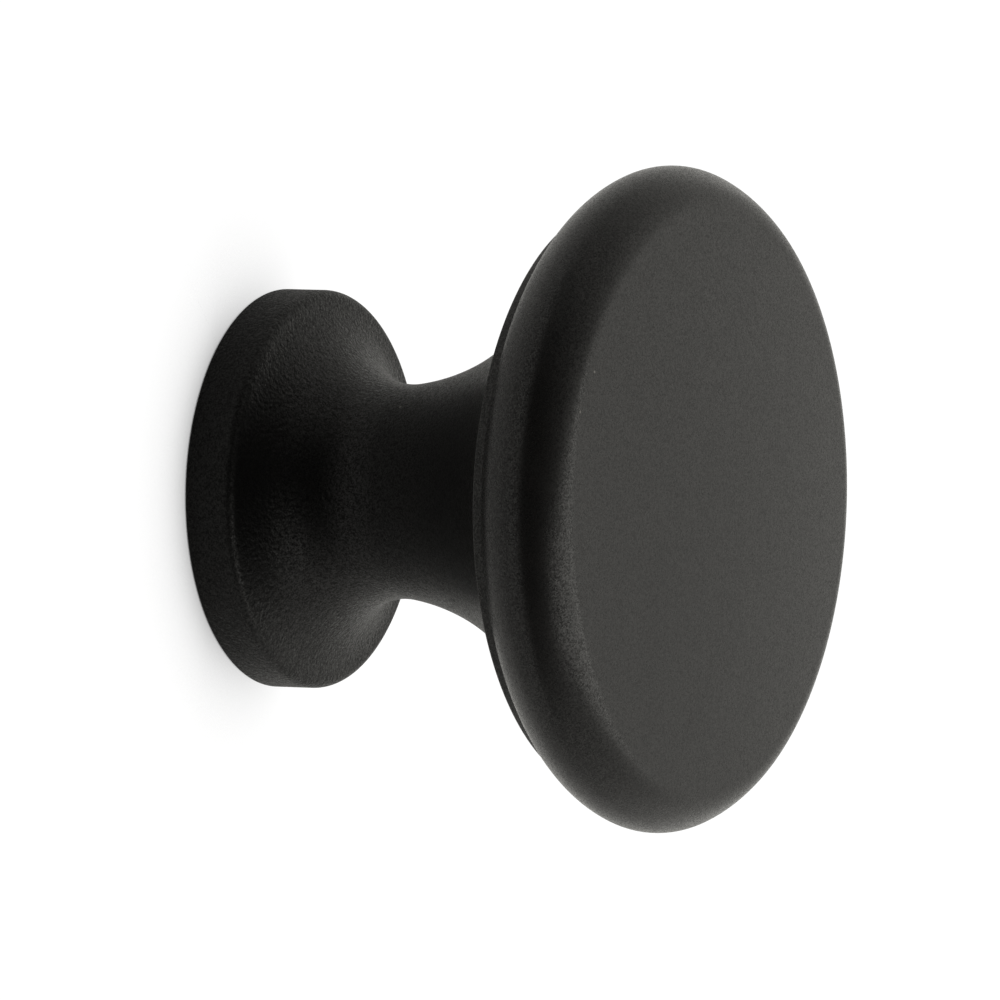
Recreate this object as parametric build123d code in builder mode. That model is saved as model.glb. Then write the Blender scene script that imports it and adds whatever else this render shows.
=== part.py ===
from build123d import *
import math
import os

# Round cabinet knob, standing on its mounting face, with the axis along +Z. Sizes in mm.

# Head: a rim with a tight nose, flatter towards the back and the shoulder, then a short bend into a domed face
head_d = 32.0
rim_z = 21.05
rim_round = 1.95
back_round = 3.3
back_deg = 22.0
shoulder_round = 3.7
shoulder_deg = 25.0
bend_round = 1.8
bend_deg = 45.0
face_dome_r = 150.0

# Lip behind the rim, where the trumpet of the neck ends
lip_inset = 1.975
lip_z = 18.0
lip_round = 0.15

# Neck: a long trumpet that narrows towards trumpet_d at trumpet_z, and a tighter flare down to the foot
trumpet_d = 10.15
trumpet_z = 5.75
flare_round = 4.5

# Foot that meets the door: an upright edge and a rounded crest
foot_d = 19.25
foot_edge_h = 2.1
foot_round = 0.5

# Blind hole for an M4 screw, at its tapping size
screw_tap_d = 3.3
screw_depth = 12.0
screw_mouth = 0.4
drill_point_deg = 118.0

# The rim's arcs meet at tangents: back and nose at back_deg below level, nose and shoulder at shoulder_deg
# above it, shoulder and bend at bend_deg
back_way = Vector(1, 0).rotate(Axis.Z, -back_deg)
shoulder_way = Vector(1, 0).rotate(Axis.Z, shoulder_deg)
bend_way = Vector(1, 0).rotate(Axis.Z, bend_deg)
nose_mid = Vector(head_d / 2 - rim_round, rim_z)
back_end = nose_mid + back_way * rim_round
back_mid = back_end - back_way * back_round
shoulder_start = nose_mid + shoulder_way * rim_round
shoulder_mid = shoulder_start - shoulder_way * shoulder_round
bend_start = shoulder_mid + bend_way * shoulder_round
bend_mid = bend_start - bend_way * bend_round

# The bend ends where its tangent is the dome's
face_tilt = math.asin(bend_mid.X / (face_dome_r - bend_round))
face_edge = bend_mid + Vector(math.sin(face_tilt), math.cos(face_tilt)) * bend_round
crown_z = face_edge.Y + face_dome_r * (1 - math.cos(face_tilt))

# The rim's back rises from the lip in a crease
lip_r = head_d / 2 - lip_inset
lip_edge = Vector(lip_r, lip_z)
crease = Vector(lip_r, back_mid.Y - math.sqrt(back_round**2 - (lip_r - back_mid.X) ** 2))

# The trumpet's circle passes through the lip and stands upright at its narrowest
flare_out = lip_r - trumpet_d / 2
trumpet_round = (flare_out**2 + (lip_z - trumpet_z) ** 2) / (2 * flare_out)
trumpet_mid = Vector(trumpet_d / 2 + trumpet_round, trumpet_z)

# The flare's circle touches the foot's crest from outside and the trumpet's circle from inside
crest_mid = Vector(foot_d / 2 - foot_round, foot_edge_h)
gap = trumpet_mid - crest_mid
to_crest = foot_round + flare_round
to_trumpet = trumpet_round - flare_round
along = (gap.length**2 + to_crest**2 - to_trumpet**2) / (2 * gap.length)
across = math.sqrt(to_crest**2 - along**2)
flare_mid = crest_mid + gap.normalized() * along + gap.normalized().rotate(Axis.Z, 90) * across
crest_end = crest_mid + (flare_mid - crest_mid).normalized() * foot_round
flare_end = trumpet_mid + (flare_mid - trumpet_mid).normalized() * trumpet_round

with BuildPart() as knob:
    with BuildSketch(Plane.XZ):
        with BuildLine():
            Polyline((0, crown_z), (0, 0), (foot_d / 2, 0), (foot_d / 2, foot_edge_h))
            crest = TangentArc((foot_d / 2, foot_edge_h), crest_end, tangent=(0, 1))
            flare = TangentArc(crest_end, flare_end, tangent=crest % 1)
            TangentArc(flare_end, lip_edge, tangent=flare % 1)
            Line(lip_edge, crease)
            back = TangentArc(crease, back_end, tangent=(crease - back_mid).rotate(Axis.Z, 90))
            nose = TangentArc(back_end, shoulder_start, tangent=back % 1)
            shoulder = TangentArc(shoulder_start, bend_start, tangent=nose % 1)
            bend = TangentArc(bend_start, face_edge, tangent=shoulder % 1)
            TangentArc(face_edge, (0, crown_z), tangent=bend % 1)
        make_face()
    revolve(axis=Axis.Z)

    # Worn back edge of the lip
    rings = knob.edges().filter_by(GeomType.CIRCLE)
    fillet(rings.filter_by(lambda ring: abs(ring.radius - lip_r) < 0.01).sort_by(Axis.Z)[0], lip_round)

    # Screw hole: drilled wall, pointed end and broken mouth
    point_h = screw_tap_d / 2 / math.tan(math.radians(drill_point_deg / 2))
    with BuildSketch(Plane.XZ):
        Polygon(
            (0, 0),
            (screw_tap_d / 2 + screw_mouth, 0),
            (screw_tap_d / 2, screw_mouth),
            (screw_tap_d / 2, screw_depth),
            (0, screw_depth + point_h),
            align=None,
        )
    revolve(axis=Axis.Z, mode=Mode.SUBTRACT)

knob.part.label = "knob"
os.makedirs("parts", exist_ok=True)
export_step(knob.part, "parts/knob.step")
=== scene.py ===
import math
import bpy
from mathutils import Matrix, Vector


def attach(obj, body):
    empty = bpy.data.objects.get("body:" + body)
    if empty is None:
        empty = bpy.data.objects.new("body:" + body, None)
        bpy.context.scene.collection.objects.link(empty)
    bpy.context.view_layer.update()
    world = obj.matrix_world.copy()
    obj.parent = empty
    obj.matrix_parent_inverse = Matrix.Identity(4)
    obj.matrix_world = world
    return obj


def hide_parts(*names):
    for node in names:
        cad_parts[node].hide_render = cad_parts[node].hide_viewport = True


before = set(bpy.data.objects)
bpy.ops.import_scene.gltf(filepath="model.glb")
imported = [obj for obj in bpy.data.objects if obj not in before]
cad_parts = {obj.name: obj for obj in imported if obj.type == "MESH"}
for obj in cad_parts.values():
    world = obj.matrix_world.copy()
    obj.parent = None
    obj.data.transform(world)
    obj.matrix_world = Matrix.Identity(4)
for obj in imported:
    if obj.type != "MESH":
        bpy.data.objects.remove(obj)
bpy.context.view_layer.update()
scene = bpy.context.scene
scene.view_settings.view_transform = "Standard"
MM = 0.001

# Sizes of the knob in mm, as in the part's source
HEAD_R = 16.0
RIM_Z = 21.05
RIM_ROUND = 1.95
BACK_ROUND = 3.3
BACK_DEG = 22.0
SHOULDER_ROUND = 3.7
SHOULDER_DEG = 25.0
BEND_ROUND = 1.8
BEND_DEG = 45.0
FACE_DOME_R = 150.0
LIP_INSET = 1.975
LIP_R = HEAD_R - LIP_INSET
LIP_Z = 18.0
LIP_ROUND = 0.15
TRUMPET_R = 5.075
TRUMPET_Z = 5.75
FLARE_ROUND = 4.5
FOOT_R = 9.625
FOOT_EDGE_H = 2.1
FOOT_ROUND = 0.5
TAP_R = 1.65
TAP_DEPTH = 12.0
TAP_MOUTH = 0.4
DRILL_POINT_DEG = 118.0

# Coat rolled over the lower edge of the foot
FOOT_HEM = 0.12

# M4 thread cut into the wall of the hole, with its flat root and its flanks as shares of the pitch
THREAD_DEEP = 0.33
THREAD_PITCH = 0.7
THREAD_ROOT = 0.3
THREAD_FLANK = 0.25
THREAD_END = 10.2
THREAD_FADE_IN = 0.5
THREAD_FADE_OUT = 0.8

# Fineness of the mesh
SEGMENTS = 192
RINGS_PER_PITCH = 8
MOUTH_RING = 0.6
SHARP_DEG = 40

# Powder coat: colours, and heights in mm between which it changes, with painted shade that darkens it below
# the head
COAT_DARK = (0.0036, 0.0034, 0.0033, 1.0)
COAT_PALE = (0.0056, 0.0053, 0.0051, 1.0)
SPECK = (0.09, 0.086, 0.08, 1.0)
SHADE_AND_DULL_FROM_Z = 17.5
SHADE_AND_DULL_TO_Z = 13.0
PEEL_FROM_Z = 12.0
PEEL_TO_Z = 3.0
PEEL_DEEP = 0.045

# Floor: its paint, its half width in metres and its drop below the foot in mm
FLOOR_PALE = (0.77, 0.77, 0.77, 1.0)
FLOOR_HALF = 3.0
FLOOR_DROP = 0.02

# Painted contact shadow in mm: its reach, and where it sets in and is full on the way to the front of the
# foot
SHADOW_REACH = 6.5
SHADOW_FROM_Y = 1.5
SHADOW_TO_Y = -7.0

# Colour of all the light
WARM_WHITE = (1.0, 0.985, 0.93)


def towards(a, b):
    """Angle in degrees of the way from a to b in the profile's plane."""
    return math.degrees(math.atan2(b[1] - a[1], b[0] - a[0]))


def beside(mid, radius, degrees):
    """Point of the profile's plane at a distance and an angle from another."""
    t = math.radians(degrees)
    return mid[0] + radius * math.cos(t), mid[1] + radius * math.sin(t)


def arc(mid, radius, start, end, steps):
    """Points along an arc of the profile, from one angle to another."""
    return [beside(mid, radius, start + (end - start) * i / steps) for i in range(steps + 1)]


def coat_profile():
    """Points (radius, height) of the coated outside, from the crown down to the mouth of the hole."""
    nose = (HEAD_R - RIM_ROUND, RIM_Z)
    back = beside(nose, RIM_ROUND - BACK_ROUND, -BACK_DEG)
    shoulder = beside(nose, RIM_ROUND - SHOULDER_ROUND, SHOULDER_DEG)
    bend = beside(shoulder, SHOULDER_ROUND - BEND_ROUND, BEND_DEG)
    level = math.degrees(math.acos(bend[0] / (FACE_DOME_R - BEND_ROUND)))
    dome = beside(bend, BEND_ROUND - FACE_DOME_R, level)
    crease = -math.degrees(math.acos((LIP_R - back[0]) / BACK_ROUND))

    reach = LIP_R - TRUMPET_R
    trumpet_round = (reach**2 + (LIP_Z - TRUMPET_Z) ** 2) / (2 * reach)
    trumpet = (TRUMPET_R + trumpet_round, TRUMPET_Z)
    lip_in = LIP_R - LIP_ROUND
    lip = (lip_in, TRUMPET_Z + math.sqrt((trumpet_round + LIP_ROUND) ** 2 - (trumpet[0] - lip_in) ** 2))

    crest = (FOOT_R - FOOT_ROUND, FOOT_EDGE_H)
    gap = math.dist(crest, trumpet)
    to_crest = FOOT_ROUND + FLARE_ROUND
    to_trumpet = trumpet_round - FLARE_ROUND
    along = (gap**2 + to_crest**2 - to_trumpet**2) / (2 * gap)
    flare = beside(crest, to_crest, towards(crest, trumpet) + math.degrees(math.acos(along / to_crest)))
    hem = (FOOT_R - FOOT_HEM, FOOT_HEM)
    mouth = TAP_R + TAP_MOUTH

    points = arc(dome, FACE_DOME_R, 90, level, 28)
    points += arc(bend, BEND_ROUND, level, BEND_DEG, 20)[1:]
    points += arc(shoulder, SHOULDER_ROUND, BEND_DEG, SHOULDER_DEG, 14)[1:]
    points += arc(nose, RIM_ROUND, SHOULDER_DEG, -BACK_DEG, 24)[1:]
    points += arc(back, BACK_ROUND, -BACK_DEG, crease, 14)[1:]
    points += arc(lip, LIP_ROUND, 0, towards(lip, trumpet), 8)
    points += arc(trumpet, trumpet_round, towards(trumpet, lip), towards(trumpet, flare) % 360, 52)[1:]
    points += arc(flare, FLARE_ROUND, towards(trumpet, flare) % 360, towards(flare, crest) % 360, 36)[1:]
    points += arc(crest, FOOT_ROUND, towards(crest, flare), 0, 12)[1:]
    points += arc(hem, FOOT_HEM, 0, -90, 5)
    points += [(mouth + MOUTH_RING, 0.0), (mouth, 0.0)]
    return points


def thread_radius(turn, z):
    """Radius of the tapped wall at an angle and a height: flat crests and roots, fading out at both ends."""
    phase = (z / THREAD_PITCH - turn / (2 * math.pi)) % 1.0
    tooth = (THREAD_ROOT / 2 + THREAD_FLANK - abs(phase - 0.5)) / THREAD_FLANK
    fade = min(1.0, (z - TAP_MOUTH) / THREAD_FADE_IN, (THREAD_END - z) / THREAD_FADE_OUT)
    return TAP_R + THREAD_DEEP * min(1.0, max(0.0, tooth)) * max(0.0, fade)


def knob_mesh():
    """Closed mesh of the whole knob, turned about its axis, with the tapped hole."""
    turns = [2 * math.pi * i / SEGMENTS for i in range(SEGMENTS)]
    crown, *outside = coat_profile()
    rings = [[point] * SEGMENTS for point in outside]
    steps = round((THREAD_END - TAP_MOUTH) / THREAD_PITCH * RINGS_PER_PITCH)
    for i in range(steps + 1):
        z = TAP_MOUTH + (THREAD_END - TAP_MOUTH) * i / steps
        rings.append([(thread_radius(t, z), z) for t in turns])
    rings.append([(TAP_R, TAP_DEPTH)] * SEGMENTS)

    verts = [(0.0, 0.0, crown[1] * MM)]
    for ring in rings:
        verts += [(r * math.cos(t) * MM, r * math.sin(t) * MM, z * MM) for (r, z), t in zip(ring, turns)]
    point_h = TAP_R / math.tan(math.radians(DRILL_POINT_DEG / 2))
    verts.append((0.0, 0.0, (TAP_DEPTH + point_h) * MM))

    faces = []
    for i in range(SEGMENTS):
        j = (i + 1) % SEGMENTS
        faces.append((0, 1 + i, 1 + j))
        for k in range(len(rings) - 1):
            a, b = 1 + k * SEGMENTS, 1 + (k + 1) * SEGMENTS
            faces.append((a + i, b + i, b + j, a + j))
        last = 1 + (len(rings) - 1) * SEGMENTS
        faces.append((last + i, len(verts) - 1, last + j))
    mesh = bpy.data.meshes.new("coated_knob")
    mesh.from_pydata(verts, [], faces)
    mesh.shade_smooth()
    mesh.set_sharp_from_angle(angle=math.radians(SHARP_DEG))
    return mesh


def put(tree, socket, value):
    """Link an output to a socket, or set the socket to a plain value."""
    if isinstance(value, bpy.types.NodeSocket):
        tree.links.new(value, socket)
    else:
        socket.default_value = value


def node(tree, kind, **values):
    """New node with the named properties set and the named inputs set or linked."""
    made = tree.nodes.new(kind)
    for name, value in values.items():
        if name in made.inputs:
            put(tree, made.inputs[name], value)
        else:
            setattr(made, name, value)
    return made


def maths(tree, operation, *values):
    """Output of one operation on outputs and plain numbers."""
    made = node(tree, "ShaderNodeMath", operation=operation)
    for socket, value in zip(made.inputs, values):
        put(tree, socket, value)
    return made.outputs["Value"]


def span(tree, value, start, end, low=0.0, high=1.0, curve="LINEAR"):
    """Output that goes from low to high while a value goes from start to end."""
    made = node(tree, "ShaderNodeMapRange", Value=value, interpolation_type=curve)
    made.inputs["From Min"].default_value = start
    made.inputs["From Max"].default_value = end
    made.inputs["To Min"].default_value = low
    made.inputs["To Max"].default_value = high
    return made.outputs["Result"]


def powder_coat():
    """Matte black powder coat: fine grain, a cloudy tone, orange peel, a few pale specks, and painted shade
    below the head.
    """
    material = bpy.data.materials.new("powder_coat")
    material.use_nodes = True
    tree = material.node_tree
    shader = tree.nodes["Principled BSDF"]
    place = node(tree, "ShaderNodeTexCoord").outputs["Object"]
    height = node(tree, "ShaderNodeSeparateXYZ", Vector=place).outputs["Z"]

    # How far below the head, where the coat is duller and its colour is painted darker as shade under the
    # head
    shade_and_dull = span(tree, height, SHADE_AND_DULL_FROM_Z * MM, SHADE_AND_DULL_TO_Z * MM, curve="SMOOTHSTEP")

    # Powder grains, each with its own tone and shine
    grains = node(tree, "ShaderNodeTexVoronoi", Vector=place, Scale=17000.0)
    lot = node(tree, "ShaderNodeSeparateColor", Color=grains.outputs["Color"]).outputs["Red"]
    grain = span(tree, lot, 0.0, 1.0, low=0.5, high=1.5)
    grain_rough = span(tree, lot, 0.0, 1.0, low=1.3, high=0.7)

    # Cloudy tone of the sprayed coat
    cloud = node(tree, "ShaderNodeTexNoise", Vector=place, Scale=420.0, Detail=3.0, Roughness=0.6)
    tone = node(tree, "ShaderNodeValToRGB", Fac=cloud.outputs["Fac"])
    for stop, position, colour in zip(tone.color_ramp.elements, (0.3, 0.7), (COAT_DARK, COAT_PALE)):
        stop.position = position
        stop.color = colour
    # Painted shade: the coat's colour is darkened below the head, where the head shades the neck and the
    # foot
    amount = maths(tree, "MULTIPLY", span(tree, shade_and_dull, 0.0, 1.0, low=1.0, high=0.245), grain)
    grained = node(tree, "ShaderNodeVectorMath", operation="SCALE", Scale=amount)
    put(tree, grained.inputs["Vector"], tone.outputs["Color"])

    # Pale specks: a few cells of a wider pattern, each with a tiny dot in it
    cells = node(tree, "ShaderNodeTexVoronoi", Vector=place, Scale=520.0)
    pick = node(tree, "ShaderNodeSeparateColor", Color=cells.outputs["Color"]).outputs["Red"]
    chosen = maths(tree, "GREATER_THAN", pick, 0.9)
    dot = span(tree, cells.outputs["Distance"], 0.05, 0.02, curve="SMOOTHSTEP")
    speck = maths(tree, "MULTIPLY", chosen, dot)
    base = node(tree, "ShaderNodeMix", data_type="RGBA", Factor=speck, A=grained.outputs["Vector"], B=SPECK)
    put(tree, shader.inputs["Base Color"], base.outputs["Result"])

    # Low gloss, rougher below the head
    rough = maths(tree, "MULTIPLY", span(tree, shade_and_dull, 0.0, 1.0, low=0.346, high=0.498), grain_rough)
    put(tree, shader.inputs["Roughness"], rough)
    put(tree, shader.inputs["Specular IOR Level"], 0.172)
    put(tree, shader.inputs["Specular Tint"], grain)

    # Orange peel, thickest on the foot and the flare
    thick = span(tree, height, PEEL_FROM_Z * MM, PEEL_TO_Z * MM, low=0.12, curve="SMOOTHSTEP")
    peel = node(tree, "ShaderNodeTexNoise", Vector=place, Scale=4800.0, Detail=2.0, Roughness=0.5)
    bump = node(tree, "ShaderNodeBump", Distance=PEEL_DEEP * MM, Strength=thick, Height=peel.outputs["Fac"])
    put(tree, shader.inputs["Normal"], bump.outputs["Normal"])
    return material


def floor_paint():
    """Plain pale floor that takes the shadow. The camera sees it lifted to white, with a painted contact
    shadow.
    """
    material = bpy.data.materials.new("floor_paint")
    material.use_nodes = True
    material.cycles.emission_sampling = "NONE"
    tree = material.node_tree
    tree.nodes.clear()
    rays = node(tree, "ShaderNodeLightPath").outputs

    # Lit paint, with a little more of it in reflections
    paint = node(tree, "ShaderNodeBsdfDiffuse", Color=FLOOR_PALE)
    mirrored = maths(tree, "MAXIMUM", rays["Is Glossy Ray"], rays["Is Transmission Ray"])
    more = maths(tree, "MULTIPLY", mirrored, 0.1)
    faint = node(tree, "ShaderNodeEmission", Color=FLOOR_PALE, Strength=more)
    lit = node(tree, "ShaderNodeAddShader")
    put(tree, lit.inputs[0], paint.outputs["BSDF"])
    put(tree, lit.inputs[1], faint.outputs["Emission"])

    # What the camera sees: white, with a painted contact shadow that grows towards the front of the foot
    place = node(tree, "ShaderNodeTexCoord").outputs["Object"]
    depth = node(tree, "ShaderNodeSeparateXYZ", Vector=place).outputs["Y"]
    front = span(tree, depth, SHADOW_FROM_Y * MM, SHADOW_TO_Y * MM)
    nook = node(tree, "ShaderNodeAmbientOcclusion", Distance=SHADOW_REACH * MM, samples=4)
    shade = node(tree, "ShaderNodeMix", data_type="FLOAT", Factor=front, A=1.0, B=nook.outputs["AO"])
    white = maths(tree, "MULTIPLY", shade.outputs["Result"], 1.065)
    glow = node(tree, "ShaderNodeEmission", Strength=white)
    seen = node(tree, "ShaderNodeMixShader", Fac=maths(tree, "MULTIPLY", rays["Is Camera Ray"], 0.95))
    put(tree, seen.inputs[1], lit.outputs["Shader"])
    put(tree, seen.inputs[2], glow.outputs["Emission"])
    node(tree, "ShaderNodeOutputMaterial", Surface=seen.outputs["Shader"])
    return material


def studio():
    """World that is white behind the knob, dark on the side of the camera and a little whiter towards +X."""
    world = bpy.data.worlds.new("studio")
    world.use_nodes = True
    tree = world.node_tree
    background = tree.nodes["Background"]
    way = node(tree, "ShaderNodeTexCoord").outputs["Generated"]
    parts = node(tree, "ShaderNodeSeparateXYZ", Vector=way).outputs
    fade = span(tree, parts["Y"], -0.674, 0.0, high=0.991)
    lean = maths(tree, "MULTIPLY_ADD", parts["X"], 0.15, 1.0)
    put(tree, background.inputs["Strength"], maths(tree, "MULTIPLY", fade, lean))
    put(tree, background.inputs["Color"], (*WARM_WHITE, 1.0))
    return world


def softbox(name, radiance, elevation, azimuth, half_wide, half_high, distance=0.6):
    """Soft panel that faces the knob. Azimuth 0 is the camera's side and 90 is +X. Angles in degrees."""
    e, a = math.radians(elevation), math.radians(azimuth)
    way = Vector((math.cos(e) * math.sin(a), -math.cos(e) * math.cos(a), math.sin(e)))
    lamp = bpy.data.lights.new(name, "AREA")
    lamp.shape = "RECTANGLE"
    lamp.color = WARM_WHITE
    lamp.size = 2 * distance * math.tan(math.radians(half_wide))
    lamp.size_y = 2 * distance * math.tan(math.radians(half_high))
    lamp.energy = radiance * math.pi * lamp.size * lamp.size_y
    light = bpy.data.objects.new(name, lamp)
    light.location = way * distance
    light.rotation_euler = (-way).to_track_quat("-Z", "Y").to_euler()
    scene.collection.objects.link(light)


# The coated knob stands for the plain solid
knob = bpy.data.objects.new("coated_knob", knob_mesh())
scene.collection.objects.link(knob)
knob.data.materials.append(powder_coat())
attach(knob, "root")
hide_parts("knob")

# Floor
corners = [(FLOOR_HALF * x, FLOOR_HALF * y, 0.0) for x, y in ((-1, -1), (1, -1), (1, 1), (-1, 1))]
floor_mesh = bpy.data.meshes.new("floor")
floor_mesh.from_pydata(corners, [], [(0, 1, 2, 3)])
floor_mesh.materials.append(floor_paint())
floor = bpy.data.objects.new("floor", floor_mesh)
floor.location.z = -FLOOR_DROP * MM
scene.collection.objects.link(floor)

# Light
scene.world = studio()
softbox("overhead", radiance=2.5, elevation=72.2, azimuth=112.2, half_wide=37.3, half_high=19.8)
softbox("back", radiance=0.285, elevation=40.0, azimuth=215.3, half_wide=27.7, half_high=13.7)

# Camera: a metre from the foot and 28 degrees above the floor, with the knob on its side in the picture
AXIS_TO_VIEW = math.radians(61.8936)
AXIS_TILT = math.radians(1.7255)
FOOT_PX = (281.4095, 487.7862)
PX_PER_MM = 20.6661
DISTANCE = 1000.0
FRAME_PX = 1000.0
SENSOR = 36.0
across = math.sin(AXIS_TO_VIEW)
up = Vector((across * math.cos(AXIS_TILT), across * math.sin(AXIS_TILT), -math.cos(AXIS_TO_VIEW)))
ahead = Vector((0.0, 0.0, 1.0))
far = (ahead - up * ahead.dot(up)).normalized()
turned = Matrix((far.cross(up), far, up))
aside = [(p - FRAME_PX / 2) / PX_PER_MM for p in FOOT_PX]
foot = Vector((*aside, DISTANCE)) * MM
lens = bpy.data.cameras.new("camera")
lens.sensor_fit = "HORIZONTAL"
lens.sensor_width = SENSOR
lens.lens = PX_PER_MM * DISTANCE * SENSOR / FRAME_PX
lens.clip_start = 0.01
camera = bpy.data.objects.new("camera", lens)
flip = Matrix.Diagonal((1.0, -1.0, -1.0))
camera.matrix_world = Matrix.Translation(-(turned @ foot)) @ (turned @ flip).to_4x4()
scene.collection.objects.link(camera)
scene.camera = camera
